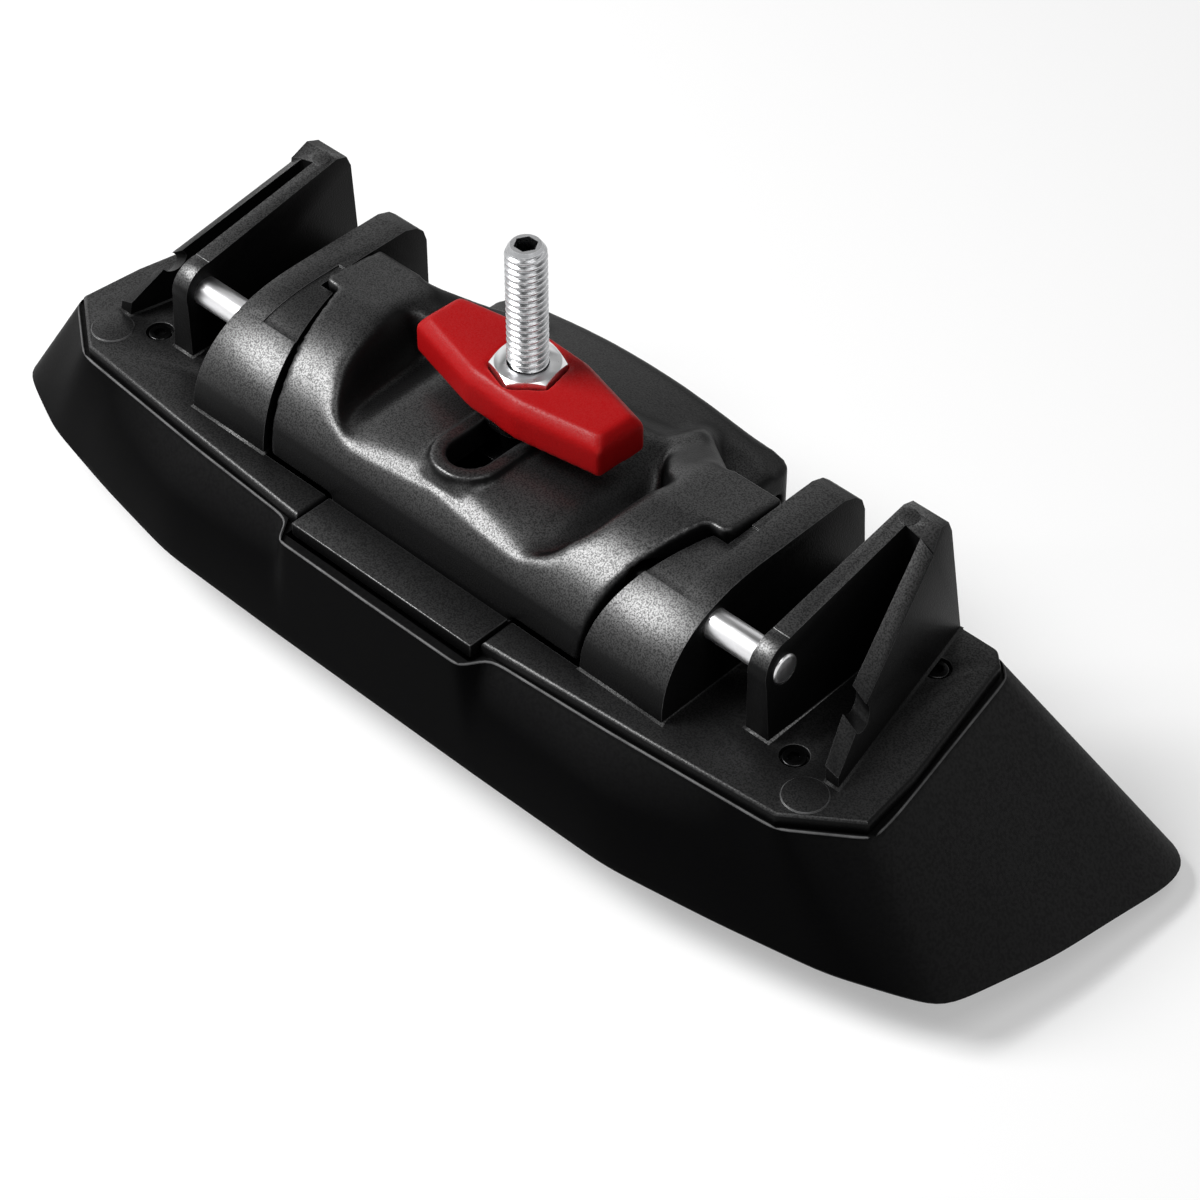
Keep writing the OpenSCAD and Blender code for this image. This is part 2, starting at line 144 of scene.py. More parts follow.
def makeGrain():
    s = grainSet
    g, i, o = newGroup("mouldGrain", ("Scale", "Cloud"), ("Height", "Tone"))
    fine = noiseNode(g, i.outputs["Vector"], i.outputs["Scale"], *s["fine"])
    cloud = noiseNode(g, i.outputs["Vector"], i.outputs["Cloud"], *s["cloud"])
    g.links.new(fine, o.inputs["Height"])
    g.links.new(shared(g, fine, cloud, s["share"]), o.inputs["Tone"])
    return g


# lighter edges, part rubbed wear and part painted edge highlight: the mesh carries the mask, noise breaks
# it up
edgeWearHighlightSet = {"scale": 220.0, "noise": (4.0, 0.6), "lift": 1.6}


def makeEdgeWearHighlight():
    s = edgeWearHighlightSet
    g, i, o = newGroup("edgeWearHighlight", ("Amount",), ("Mask",))
    breakUp = noiseNode(g, i.outputs["Vector"], s["scale"], *s["noise"])
    lift = mathNode(g, "MULTIPLY", attribute(g, "edgeWearHighlight"), mathNode(g, "MULTIPLY", breakUp, s["lift"]))
    g.links.new(mathNode(g, "MULTIPLY", lift, i.outputs["Amount"], True), o.inputs["Mask"])
    return g


# drawn or turned metal: the material stretches the noise along one axis
brushSet = {"line": (3.0, 0.6), "spotScale": 140.0, "spot": (4.0, 0.6), "share": 0.5}


def makeBrush():
    s = brushSet
    g, i, o = newGroup("brushMarks", ("Scale",), ("Height", "Tone"))
    line = noiseNode(g, i.outputs["Vector"], i.outputs["Scale"], *s["line"])
    spot = noiseNode(g, i.outputs["Vector"], s["spotScale"], *s["spot"])
    g.links.new(line, o.inputs["Height"])
    g.links.new(shared(g, line, spot, s["share"]), o.inputs["Tone"])
    return g


# painted sheen: the coat lies on the tops of the grain where the mesh's facing mask says so
topsSet = {"noise": (1.0, 0.5), "tops": (0.36, 0.6)}


def makeSheenMask():
    s = topsSet
    g, i, o = newGroup("sheenMask", ("Scale", "Amount", "Valley"), ("Mask",))
    fine = noiseNode(g, i.outputs["Vector"], i.outputs["Scale"], *s["noise"])
    tops = mapRange(g, fine, s["tops"], (i.outputs["Valley"], 1.0))
    sheenOnTops = mathNode(g, "MULTIPLY", attribute(g, "paintedSheen"), tops)
    g.links.new(mathNode(g, "MULTIPLY", sheenOnTops, i.outputs["Amount"], True), o.inputs["Mask"])
    return g


grain = makeGrain()
edgeWearHighlight = makeEdgeWearHighlight()
brushMarks = makeBrush()
sheenMask = makeSheenMask()


# materials
toneSpan = (0.3, 0.7)  # where most of a tone's values lie


def startMaterial(name):
    m = bpy.data.materials.new(name)
    m.use_nodes = True
    t = m.node_tree
    return m, t, t.nodes["Principled BSDF"], t.nodes.new("ShaderNodeTexCoord").outputs["Object"]


def place(tree, group, vector, **values):
    n = tree.nodes.new("ShaderNodeGroup")
    n.node_tree = group
    tree.links.new(vector, n.inputs["Vector"])
    for k, v in values.items():
        n.inputs[k].default_value = v
    return n


def mixColour(tree, fac, a, b):
    n = tree.nodes.new("ShaderNodeMix")
    n.data_type = "RGBA"
    for s, v in ((n.inputs[6], a), (n.inputs[7], b)):  # the two colour sockets
        if isinstance(v, tuple):
            s.default_value = v + (1.0,)
        else:
            tree.links.new(v, s)
    tree.links.new(fac, n.inputs[0])
    return n.outputs[2]


def bump(tree, height, s, shader):
    n = tree.nodes.new("ShaderNodeBump")
    n.inputs["Strength"].default_value = s["bump"]
    n.inputs["Distance"].default_value = s["depth"]
    tree.links.new(height, n.inputs["Height"])
    tree.links.new(n.outputs["Normal"], shader.inputs["Normal"])


def plastic(name, s):
    m, t, shader, coord = startMaterial(name)
    g = place(t, grain, coord, Scale=s["grainScale"], Cloud=s["cloud"])
    # lighter edges: part wear, part painted edge highlight
    wearHighlight = place(t, edgeWearHighlight, coord, Amount=s["wearHighlight"])
    # the coat weight is a painted sheen on faces turned to the lamps' highlight
    paintedSheen = place(t, sheenMask, coord, Scale=s["sheenScale"], Amount=s["paintedSheen"], Valley=s["valley"])
    body = mixColour(t, g.outputs["Tone"], s["dark"], s["light"])
    t.links.new(mixColour(t, wearHighlight.outputs["Mask"], body, s["wearHighlighted"]), shader.inputs["Base Color"])
    t.links.new(mapRange(t, g.outputs["Tone"], toneSpan, s["rough"]), shader.inputs["Roughness"])
    t.links.new(paintedSheen.outputs["Mask"], shader.inputs["Coat Weight"])
    shader.inputs["Specular IOR Level"].default_value = s["spec"]
    shader.inputs["Coat Roughness"].default_value = s["coatRough"]
    shader.inputs["Coat IOR"].default_value = s["coatIor"]
    bump(t, g.outputs["Height"], s, shader)
    return m


def metal(name, s):
    m, t, shader, coord = startMaterial(name)
    stretch = t.nodes.new("ShaderNodeMapping")
    stretch.inputs["Scale"].default_value = s["stretch"]
    t.links.new(coord, stretch.inputs["Vector"])
    g = place(t, brushMarks, stretch.outputs["Vector"], Scale=s["scale"])
    # lighter edges: part wear, part painted edge highlight
    wearHighlight = place(t, edgeWearHighlight, coord, Amount=s["wearHighlight"])
    body = mixColour(t, g.outputs["Tone"], s["dark"], s["light"])
    colour = mixColour(t, wearHighlight.outputs["Mask"], body, s["wearHighlighted"])
    # painted shade: a mesh mask darkens the inside of the stud's socket
    if "socketShade" in s:
        colour = mixColour(t, attribute(t, "socketShade"), colour, s["socketShade"])
    if "oiled" in s:
        # painted shade: the length inside the bearings is painted dark where it shows in the gap
        split = t.nodes.new("ShaderNodeSeparateXYZ")
        t.links.new(coord, split.inputs[0])
        away = mathNode(t, "ABSOLUTE", split.outputs[0])
        colour = mixColour(t, mathNode(t, "GREATER_THAN", away, s["oiled"] / 1000), s["oil"], colour)
    t.links.new(colour, shader.inputs["Base Color"])
    t.links.new(mapRange(t, g.outputs["Tone"], toneSpan, s["rough"]), shader.inputs["Roughness"])
    shader.inputs["Metallic"].default_value = s["metallic"]
    bump(t, g.outputs["Height"], s, shader)
    return m


# in each finish the lighter edge colour is part wear, part painted highlight, and the coat amount is a
# painted sheen
shellFinish = {"dark": (0.002, 0.002, 0.0021), "light": (0.0044, 0.0044, 0.0046),
               "wearHighlighted": (0.2, 0.2, 0.202), "wearHighlight": 0.7, "grainScale": 2600.0, "cloud": 30.0,
               "rough": (0.4, 0.5), "spec": 0.004, "bump": 0.06, "depth": 0.0001, "paintedSheen": 0.3,
               "sheenScale": 1500.0, "valley": 0.7, "coatRough": 0.42, "coatIor": 1.5}
frameFinish = {"dark": (0.0026, 0.0026, 0.0027), "light": (0.006, 0.006, 0.0062),
               "wearHighlighted": (0.14, 0.14, 0.142), "wearHighlight": 0.8, "grainScale": 2600.0, "cloud": 60.0,
               "rough": (0.38, 0.46), "spec": 0.06, "bump": 0.5, "depth": 0.00012, "paintedSheen": 1.0,
               "sheenScale": 3200.0, "valley": 0.35, "coatRough": 0.4, "coatIor": 1.6}
cradleFinish = dict(frameFinish, wearHighlighted=(0.1, 0.1, 0.102), wearHighlight=0.4, cloud=45.0, valley=0.3,
                    coatRough=0.36, coatIor=1.8)
hingeFinish = dict(cradleFinish, wearHighlighted=frameFinish["wearHighlighted"], wearHighlight=frameFinish["wearHighlight"])
wingFinish = {"dark": (0.29, 0.003, 0.004), "light": (0.4, 0.005, 0.006),
              "wearHighlighted": (0.75, 0.05, 0.045), "wearHighlight": 0.6, "grainScale": 2600.0, "cloud": 80.0,
              "rough": (0.42, 0.55), "spec": 0.06, "bump": 0.5, "depth": 0.00012, "paintedSheen": 0.4,
              "sheenScale": 4200.0, "valley": 0.2, "coatRough": 0.36, "coatIor": 1.5}
zincFinish = {"dark": (0.28, 0.285, 0.295), "light": (0.52, 0.525, 0.535), "wearHighlighted": (0.9, 0.9, 0.91),
              "wearHighlight": 0.5, "metallic": 1.0, "stretch": (1.0, 1.0, 3.0), "scale": 700.0,
              "rough": (0.18, 0.34), "bump": 0.05, "depth": 0.0001, "socketShade": (0.006, 0.006, 0.006)}
nutFinish = {"dark": (0.68, 0.685, 0.695), "light": (0.92, 0.925, 0.93), "wearHighlighted": (0.95, 0.95, 0.96),
             "wearHighlight": 0.5, "metallic": 1.0, "stretch": (1.0, 1.0, 1.0), "scale": 500.0,
             "rough": (0.24, 0.38), "bump": 0.04, "depth": 0.0001}
pinFinish = {"dark": (0.62, 0.62, 0.63), "light": (0.84, 0.84, 0.85), "wearHighlighted": (0.85, 0.85, 0.85),
             "wearHighlight": 0.4, "metallic": 1.0, "stretch": (0.2, 2.0, 2.0), "scale": 800.0,
             "rough": (0.28, 0.44), "bump": 0.08, "depth": 0.0001,
             "oiled": 60.5, "oil": (0.004, 0.004, 0.004)}
screwFinish = {"dark": (0.004, 0.004, 0.0042), "light": (0.014, 0.014, 0.0145),
               "wearHighlighted": (0.08, 0.08, 0.082), "wearHighlight": 0.25, "metallic": 0.9, "stretch": (1.0, 1.0, 1.0),
               "scale": 900.0, "rough": (0.18, 0.3), "bump": 0.06, "depth": 0.0001}
brassFinish = {"dark": (0.4, 0.27, 0.09), "light": (0.62, 0.44, 0.17), "wearHighlighted": (0.8, 0.62, 0.3),
               "wearHighlight": 0.4, "metallic": 1.0, "stretch": (1.0, 1.0, 4.0), "scale": 700.0,
               "rough": (0.25, 0.42), "bump": 0.06, "depth": 0.0001}
# the bronze bush is coloured near black: painted shade where it shows in the gap
bushShadeFinish = {"dark": (0.012, 0.008, 0.004), "light": (0.03, 0.021, 0.01), "wearHighlighted": (0.04, 0.03, 0.016),
              "wearHighlight": 0.4, "metallic": 1.0, "stretch": (3.0, 1.0, 1.0), "scale": 900.0,
              "rough": (0.35, 0.55), "bump": 0.12, "depth": 0.0001}

mats = {"block_plastic": plastic("blockPlastic", shellFinish),
        "frame_plastic": plastic("framePlastic", frameFinish),
        "cradle_plastic": plastic("cradlePlastic", cradleFinish),
        "wing_red": plastic("wingRed", wingFinish),
        "zinc_steel": metal("zincSteel", zincFinish),
        "nut_plate": metal("nutPlate", nutFinish),
        "pin_steel": metal("pinSteel", pinFinish),
        "screw_black": metal("screwBlack", screwFinish),
        "insert_brass": metal("insertBrass", brassFinish),
        "bush_bronze": metal("bushBronze", bushShadeFinish)}
hingePlastic = plastic("hingePlastic", hingeFinish)
slotOf = {p["node"]: p["material_slot"] for p in frame["record"]["subparts"]}
bodyOf = {n: b for b, ns in frame["record"]["behaviour"]["bodies"].items() for n in ns}
print("materials made:", len(mats) + 1)


# helpers that turn a mesh into a piece of the part
def editMesh(obj):
    bm = bmesh.new()
    bm.from_mesh(obj.data)
    return bm


def storeMesh(bm, mesh):
    bm.to_mesh(mesh)
    bm.free()


def newObject(name, bm):
    mesh = bpy.data.meshes.new(name)
    storeMesh(bm, mesh)
    obj = bpy.data.objects.new(name, mesh)
    scene.collection.objects.link(obj)
    return obj


def dropObject(obj):
    mesh = obj.data
    bpy.data.objects.remove(obj)
    bpy.data.meshes.remove(mesh)


def bakeModifiers(obj):
    deps = bpy.context.evaluated_depsgraph_get()
    mesh = bpy.data.meshes.new_from_object(obj.evaluated_get(deps))
    old = obj.data
    obj.modifiers.clear()
    obj.data = mesh
    bpy.data.meshes.remove(old)


def markWearHighlight(obj, angle):
    # the edge wear and painted highlight mask sits on points along outward edges
    bm = editMesh(obj)
    layer = bm.verts.layers.float.new("edgeWearHighlight")
    for e in bm.edges:
        if len(e.link_faces) == 2 and e.is_convex and e.calc_face_angle(0.0) > math.radians(angle):
            for v in e.verts:
                v[layer] = 1.0
    storeMesh(bm, obj.data)


roundSet = {"segments": 3, "angle": 28, "dissolve": 0.6}


def roundEdges(obj, width):
    # a second slot marks the rounding, and its inner points carry the edge wear and painted highlight
    # mask
    for _ in range(2):
        obj.data.materials.append(mats["frame_plastic"])
    mod = obj.modifiers.new("edge", "BEVEL")
    mod.width = width / 1000
    mod.segments = roundSet["segments"]
    mod.limit_method = "ANGLE"
    mod.angle_limit = math.radians(roundSet["angle"])
    mod.use_clamp_overlap = True
    mod.miter_outer = "MITER_ARC"
    mod.material = 1
    bakeModifiers(obj)
    bm = editMesh(obj)
    layer = bm.verts.layers.float.new("edgeWearHighlight")
    for v in bm.verts:
        outward = any(e.is_convex for e in v.link_edges)
        if outward and all(f.material_index == 1 for f in v.link_faces):
            v[layer] = 1.0
    for f in bm.faces:
        f.material_index = 0
    storeMesh(bm, obj.data)


def ramp(value, low, high):
    return np.clip((value - low) / (high - low), 0.0, 1.0)


# painted sheen: how much coat a surface gets by the way it faces the lamps' highlight, by the first word
# of its node
sheenFacingSet = {"block": {"towards": (0.0, 0.0, 1.0), "turn": (0.25, 0.75)},
             "guide": {"towards": (0.0, -0.3, 0.95), "turn": (0.6, 0.85), "inside": 80.5, "beyond": 0.18},
             "other": {"towards": (0.0, -0.44, 0.9), "turn": (0.7, 0.95)}}


def markPaintedSheen(mesh, node):
    s = sheenFacingSet.get(node.split("_")[0], sheenFacingSet["other"])
    normals = np.empty(len(mesh.loops) * 3)
    mesh.corner_normals.foreach_get("vector", normals)
    facing = normals.reshape(-1, 3) @ np.array(s["towards"])
    value = ramp(facing, *s["turn"])
    if "inside" in s:
        # the lug gets the painted sheen, the fin beside it hardly
        spots = np.array([mesh.vertices[k.vertex_index].co.x for k in mesh.loops])
        value[np.abs(spots) > s["inside"] / 1000] *= s["beyond"]
    mask = mesh.attributes.new("paintedSheen", "FLOAT", "CORNER")
    mask.data.foreach_set("value", value)


standing = ("hinge_block", "guide_lug")  # blocks that stand on the plate


def settle(obj, replaced, smooth=40):
    first = replaced[0]
    obj.data.materials.clear()
    obj.data.materials.append(hingePlastic if first.startswith(standing) else mats[slotOf[first]])
    for p in obj.data.polygons:
        p.use_smooth = True
    obj.data.set_sharp_from_angle(angle=math.radians(smooth))
    markPaintedSheen(obj.data, first)
    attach(obj, bodyOf[first])
    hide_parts(*replaced)


def cutBy(obj, tool, operation="DIFFERENCE"):
    mod = obj.modifiers.new("cut", "BOOLEAN")
    mod.operation = operation
    mod.solver = "EXACT"
    mod.object = tool
    bakeModifiers(obj)
    dropObject(tool)


def pulled(loop, axis, distance):
    # a closed bar: one face drawn out along an axis
    bm = bmesh.new()
    face = bm.faces.new([bm.verts.new(p) for p in loop])
    for v in bmesh.ops.extrude_face_region(bm, geom=[face])["geom"]:
        if isinstance(v, bmesh.types.BMVert):
            v.co[axis] += distance / 1000
    bmesh.ops.recalc_face_normals(bm, faces=bm.faces)
    return bm


def prism(name, loop, low, high):
    return newObject(name, pulled([at(x, y, low) for x, y in loop], 2, high - low))


def barrel(name, x, y, radius, low, high, sides=48):
    turns = [2 * math.pi * i / sides for i in range(sides)]
    return prism(name, [(x + radius * math.cos(a), y + radius * math.sin(a)) for a in turns], low, high)


def joinRows(bm, a, b):
    count = len(a)
    return [bm.faces.new((a[i], a[(i + 1) % count], b[(i + 1) % count], b[i])) for i in range(count)]


# the moulded block: a rim and a leaning belly joined by ruled sides
shellSet = {
    "rim": [[(0, -13.7), (24.2, -13.6)], [(24.2, -13.6), (27.4, -8.5)],
            [(27.4, -8.5), (55, -6.9), (92, -3.8)], [(92, -3.8), (106, 6.4)],
            [(106, 6.4), (105.1, 14), (98, 52.4)], [(98, 52.4), (94.8, 55.6)],
            [(94.8, 55.6), (80, 57), (20, 57), (0, 57)]],
    "belly": [[(0, -13.6), (24.2, -13.6)], [(24.2, -13.6), (27.4, -13.6)],
              [(27.4, -13.6), (60, -13.2), (83, -9), (105, -4)], [(105, -4), (119, 2.2), (125, 5.5)],
              [(125, 5.5), (130.3, 29.8), (132.1, 49), (133.3, 59), (133.2, 62)],
              [(133.2, 62), (131.6, 67.2), (126.3, 70.5)],
              [(126.3, 70.5), (80, 73.4), (30, 76), (0, 76)]],
    "mouth": [(23.7, -13.1), (27.0, -8.05), (55, -6.45), (91.8, -3.35), (105.5, 6.6), (104.6, 14.0),
              (97.5, 52.2), (94.5, 55.1), (20, 56.2)],
    "tub": [(22.5, -6.0), (48, -4.6), (60.4, -3.6), (89, -0.8), (102, 7.2), (100.6, 21),
            (94.2, 50.6), (91.6, 53), (18, 53.2)],
    "samples": (24, 6, 40, 14, 26, 8, 50), "edgeSteps": 3, "sideSteps": 18, "sideEase": 1.3,
    "turnSteps": 12, "rimSoft": 3, "rimDrop": 2.2, "edge": 0.4, "bellySoft": 6, "bellyDrop": 30.0,
    "lean": 0.112, "swell": (100.0, 80.0), "swellPower": 3.0, "footInset": 13.0, "footSoft": 24,
    "turn": (1.2, 3.0), "plate": 3.0, "tubDepth": 28.0, "clear": 1.0, "toe": (24.8, -11.0),
    "toeRun": 12.0, "toeSink": 10.0, "bossRadius": 4.6, "bossBore": 2.3, "bossBoreDepth": 11.0,
    "wearHighlightRings": (1, 2), "smooth": 32}


def between(a, b, t):
    return (a[0] + t * (b[0] - a[0]), a[1] + t * (b[1] - a[1]))


def spread(line, count):
    # points at even steps along a line of corners
    steps = [math.dist(a, b) for a, b in zip(line, line[1:])]
    whole = sum(steps)
    out = []
    k = 0
    gone = 0.0
    for i in range(count):
        want = whole * i / count
        while want > gone + steps[k]:
            gone += steps[k]
            k += 1
        out.append(between(line[k], line[k + 1], (want - gone) / steps[k]))
    return out


def fullLoop(segments, samples, soft):
    half = [p for seg, n in zip(segments, samples) for p in spread(seg, n)] + [segments[-1][-1]]
    loop = half + [(-x, y) for x, y in reversed(half[1:-1])]
    count = len(loop)
    for _ in range(soft):
        loop = [tuple((loop[i - 1][k] + 2 * loop[i][k] + loop[(i + 1) % count][k]) / 4 for k in (0, 1))
                for i in range(count)]
    return loop


def mirroredLoop(half):
    return half + [(-x, y) for x, y in reversed(half)]


def inward(loop, k):
    # every point moves along the loop's own inward normal
    out = []
    for i, (x, y) in enumerate(loop):
        ax, ay = loop[i - 2]
        bx, by = loop[(i + 2) % len(loop)]
        n = math.hypot(bx - ax, by - ay)
        out.append((x - k * (by - ay) / n, y + k * (bx - ax) / n))
    return out


def ringsToMesh(rings, wearHighlighted):
    bm = bmesh.new()
    layer = bm.verts.layers.float.new("edgeWearHighlight")
    rows = [[bm.verts.new(at(*p)) for p in ring] for ring in rings]
    for k in wearHighlighted:
        for v in rows[k]:
            v[layer] = 1.0
    for a, b in zip(rows, rows[1:]):
        joinRows(bm, a, b)
    bm.faces.new(rows[0])
    bm.faces.new(rows[-1])
    bmesh.ops.recalc_face_normals(bm, faces=bm.faces)
    return bm


def shellRings():
    s = shellSet
    rim = fullLoop(s["rim"], s["samples"], s["rimSoft"])
    belly = fullLoop(s["belly"], s["samples"], s["bellySoft"])
    foot = inward(fullLoop(s["belly"], s["samples"], s["footSoft"]), s["footInset"])
    top = -s["rimDrop"] - s["edge"]
    floorZ = -origin["up"]
    rings = []

    def drop(p):
        return -s["bellyDrop"] - s["lean"] * p[1]

    for k in range(s["edgeSteps"], -1, -1):
        a = k * math.pi / (2 * s["edgeSteps"])
        loop = inward(rim, s["edge"] * (1 - math.cos(a)))
        rings.append([(x, y, top + s["edge"] * math.sin(a)) for x, y in loop])
    for k in range(1, s["sideSteps"] + 1):
        t = (k / s["sideSteps"]) ** s["sideEase"]
        ring = []
        for r, b in zip(rim, belly):
            # the front swells out under the rim, the ends stay straight
            front = ramp(abs(r[0]), *s["swell"]) if r[1] < 0 else 0.0
            out = t + front * (1 - (1 - t) ** s["swellPower"] - t)
            ring.append((between(r, b, t)[0], between(r, b, out)[1], t * drop(b) + (1 - t) * top))
        rings.append(ring)
    for k in range(1, s["turnSteps"] + 1):
        t = k / s["turnSteps"]
        bow = 2 * t * (1 - t)
        side = bow * s["turn"][0] / s["footInset"] + t * t
        low = bow * s["turn"][1]
        rings.append([(*between(b, f, side), drop(b) - low + t * t * (floorZ - drop(b)))
                      for b, f in zip(belly, foot)])
    return rings


def makeShell():
    s = shellSet
    clear = s["clear"]
    # the rim rings carry the edge wear and painted highlight mask
    body = newObject("blockShell", ringsToMesh(shellRings(), s["wearHighlightRings"]))
    cutBy(body, prism("mouthCut", mirroredLoop(s["mouth"]), -s["plate"], clear))
    cutBy(body, prism("tubCut", mirroredLoop(s["tub"]), -s["tubDepth"], clear))
    x, y = s["toe"]
    rear = y + s["toeRun"]
    cutBy(body, prism("toeCut", [(-x, y), (x, y), (x, rear), (-x, rear)], -s["toeSink"], clear))
    for x, y in bothSides(screwSpots):
        boss = barrel("boss", x, y, s["bossRadius"], -s["tubDepth"] - clear, -s["plate"])
        cutBy(boss, barrel("bossBore", x, y, s["bossBore"], -s["plate"] - s["bossBoreDepth"], clear))
        cutBy(body, boss, "UNION")
    settle(body, ["block_shell"], s["smooth"])


makeShell()
print("block made")


# pieces that start from the solid's own shape and get moulded or broken edges
def cleanCopy(node):
    bm = bmesh.new()
    bm.from_mesh(nodes[node].data)
    bmesh.ops.remove_doubles(bm, verts=bm.verts, dist=1e-6)
    return bm


# front line of the plate beside the toe tab, its rolled outer edge and where its edge wear and painted
# highlight are less
plateSet = {"x": (24.4, 50.0, 62.4, 91.0), "y": (-8.1, -6.2, -5.3, -2.8), "roll": 0.8, "rollSteps": 5,
            "rollFront": -1.5, "rollEnd": 93.2, "rollTop": -0.2, "wall": 1.5, "flat": 0.9,
            "upright": 0.3, "quietRadius": 5.5, "quietWearHighlight": 0.3, "quietBelow": -0.25}


def straightFront(bm):
    s = plateSet
    for v in bm.verts:
        x = abs(v.co.x) * 1000
        front = at(0, np.interp(x, s["x"], s["y"]), 0).y
        if s["x"][0] < x < s["x"][-1] and v.co.y < front:
            v.co.y = front


def rollPlate(obj):
    s = plateSet
    bm = editMesh(obj)
    weight = bm.edges.layers.float.new("bevel_weight_edge")
    for e in bm.edges:
        mid = (e.verts[0].co + e.verts[1].co) / 2
        outer = mid.y < at(0, s["rollFront"], 0).y or abs(mid.x) > s["rollEnd"] / 1000
        faces = sorted(e.link_faces, key=lambda f: f.normal.z)
        if not outer or len(faces) != 2:
            continue
        if faces[1].normal.z < s["flat"] or abs(faces[0].normal.z) > s["upright"]:
            continue
        heights = [v.co.z for v in faces[0].verts]
        if max(heights) - min(heights) > s["wall"] / 1000 and mid.z > at(0, 0, s["rollTop"]).z:
            e[weight] = 1.0
    storeMesh(bm, obj.data)
    mod = obj.modifiers.new("roll", "BEVEL")
    mod.width = s["roll"] / 1000
    mod.segments = s["rollSteps"]
    mod.limit_method = "WEIGHT"
    mod.use_clamp_overlap = False
    bakeModifiers(obj)


def quietHoles(obj):
    # less edge wear and painted highlight around the sunk screws, none down the corners
    s = plateSet
    spots = [at(x, y, 0) for x, y in bothSides(screwSpots)]
    for v, wearHighlight in zip(obj.data.vertices, obj.data.attributes["edgeWearHighlight"].data):
        if min(math.hypot(v.co.x - p.x, v.co.y - p.y) for p in spots) < s["quietRadius"] / 1000:
            wearHighlight.value *= s["quietWearHighlight"]
        if v.co.z < at(0, 0, s["quietBelow"]).z:
            wearHighlight.value = 0.0


# the fin beside each lug: a thin rib whose top falls away outwards
finSet = {"thin": 1.45, "drop": 2.3, "footDrop": 1.0, "foot": 12.0, "low": 1.0, "high": 27.0,
          "rear": 46.8, "area": 200.0, "lean": (0.9, 0.99)}


def slimFin(bm):
    s = finSet
    side = 1 if sum(v.co.x for v in bm.verts) > 0 else -1
    low, high = at(0, 0, s["low"]).z, at(0, 0, s["high"]).z
    foot, rear = at(0, s["foot"], 0).y, at(0, s["rear"], 0).y
    steep, upright = s["lean"]
    for f in [f for f in bm.faces if f.calc_area() > s["area"] * 1e-6]:
        if not steep < abs(f.normal.x) < upright:
            continue
        slope = abs(f.normal.z / f.normal.x)
        for v in f.verts:
            if f.normal.x * side < 0:
                v.co.x += side * s["thin"] / 1000
            elif low < v.co.z < high and v.co.y < rear:
                drop = (s["footDrop"] if v.co.y < foot else s["drop"]) / 1000
                v.co.z -= drop
                v.co.x += side * drop * slope
    bm.normal_update()


# moulded fillet where a block stands on the plate
footSet = {"size": 0.45, "hollow": 0.3, "lift": 0.02, "corner": 0.5, "down": -0.99, "level": 0.01,
           "area": 20.0, "rearWearHighlight": 0.1}


def outwards(loop):
    # the way out at each corner of a flat foot
    ways = []
    for k, here in enumerate(loop):
        before = (here - loop[k - 1]).normalized()
        after = (loop[(k + 1) % len(loop)] - here).normalized()
        sides = [Vector((-d.y, d.x, 0)) for d in (before, after)]
        out = (sides[0] + sides[1]).normalized()
        out /= max(footSet["corner"], out.dot(sides[0]))
        ways.append(out)
    return ways


def footFillet(bm):
    s = footSet
    low = min(v.co.z for v in bm.verts)
    size = s["size"] / 1000
    hollow = s["size"] * s["hollow"] / 1000
    profile = ((-hollow, size), (hollow, hollow), (size, s["lift"] / 1000))
    strips = []
    for f in bm.faces:
        level = all(abs(v.co.z - low) < s["level"] / 1000 for v in f.verts)
        if f.normal.z < s["down"] and level and f.calc_area() > s["area"] * 1e-6:
            loop = [v.co.copy() for v in f.verts]
            ways = outwards(loop)
            strips.append([[p + out * a + Vector((0, 0, b)) for p, out in zip(loop, ways)]
                           for a, b in profile])
    return strips


def addStrips(obj, strips):
    bm = editMesh(obj)
    layer = bm.verts.layers.float["edgeWearHighlight"]
    for strip in strips:
        rows = [[bm.verts.new(p) for p in row] for row in strip]
        for inner, middle, outer in zip(*rows):
            # painted highlight: the front feet are painted bright, the sides fade
            middle[layer] = 1.0 if outer.co.y < inner.co.y else footSet["rearWearHighlight"]
        made = []
        for a, b in zip(rows, rows[1:] + rows[:1]):
            made += joinRows(bm, a, b)
        bmesh.ops.recalc_face_normals(bm, faces=made)
    storeMesh(bm, obj.data)


def roundedCopy(node, name, width):
    isPlate = node == "base_plate"
    bm = cleanCopy(node)
    angle = math.radians(roundSet["dissolve"])
    bmesh.ops.dissolve_limit(bm, angle_limit=angle, verts=bm.verts, edges=bm.edges)
    if isPlate:
        straightFront(bm)
    if node.startswith("guide_lug"):
        slimFin(bm)
    strips = footFillet(bm) if node.startswith(standing) else []
    obj = newObject(name, bm)
    if isPlate:
        rollPlate(obj)
    roundEdges(obj, width)
    if isPlate:
        quietHoles(obj)
    addStrips(obj, strips)
    settle(obj, [node])


edgeSet = {"base_plate": ("topPlate", 0.35),
           "hinge_block_left": ("hingeBlockLeft", 0.5), "hinge_block_right": ("hingeBlockRight", 0.5),
           "guide_lug_left": ("guideLugLeft", 0.5), "guide_lug_right": ("guideLugRight", 0.5),
           "pivot_pin_left": ("pivotPinLeft", 0.5), "pivot_pin_right": ("pivotPinRight", 0.5),
           "wing_nut": ("gripNut", 0.25), "stud_slider": ("studSlider", 0.4),
           "stud_lock_nut": ("studLockNut", 0.4), "clamp_washer": ("clampWasher", 0.4)}
for node, (name, width) in edgeSet.items():
    roundedCopy(node, name, width)
print("rounded pieces made:", len(edgeSet))


# solids remeshed in even small faces, then softened
relax = 0.5  # share of the way to the neighbours' middle at each step


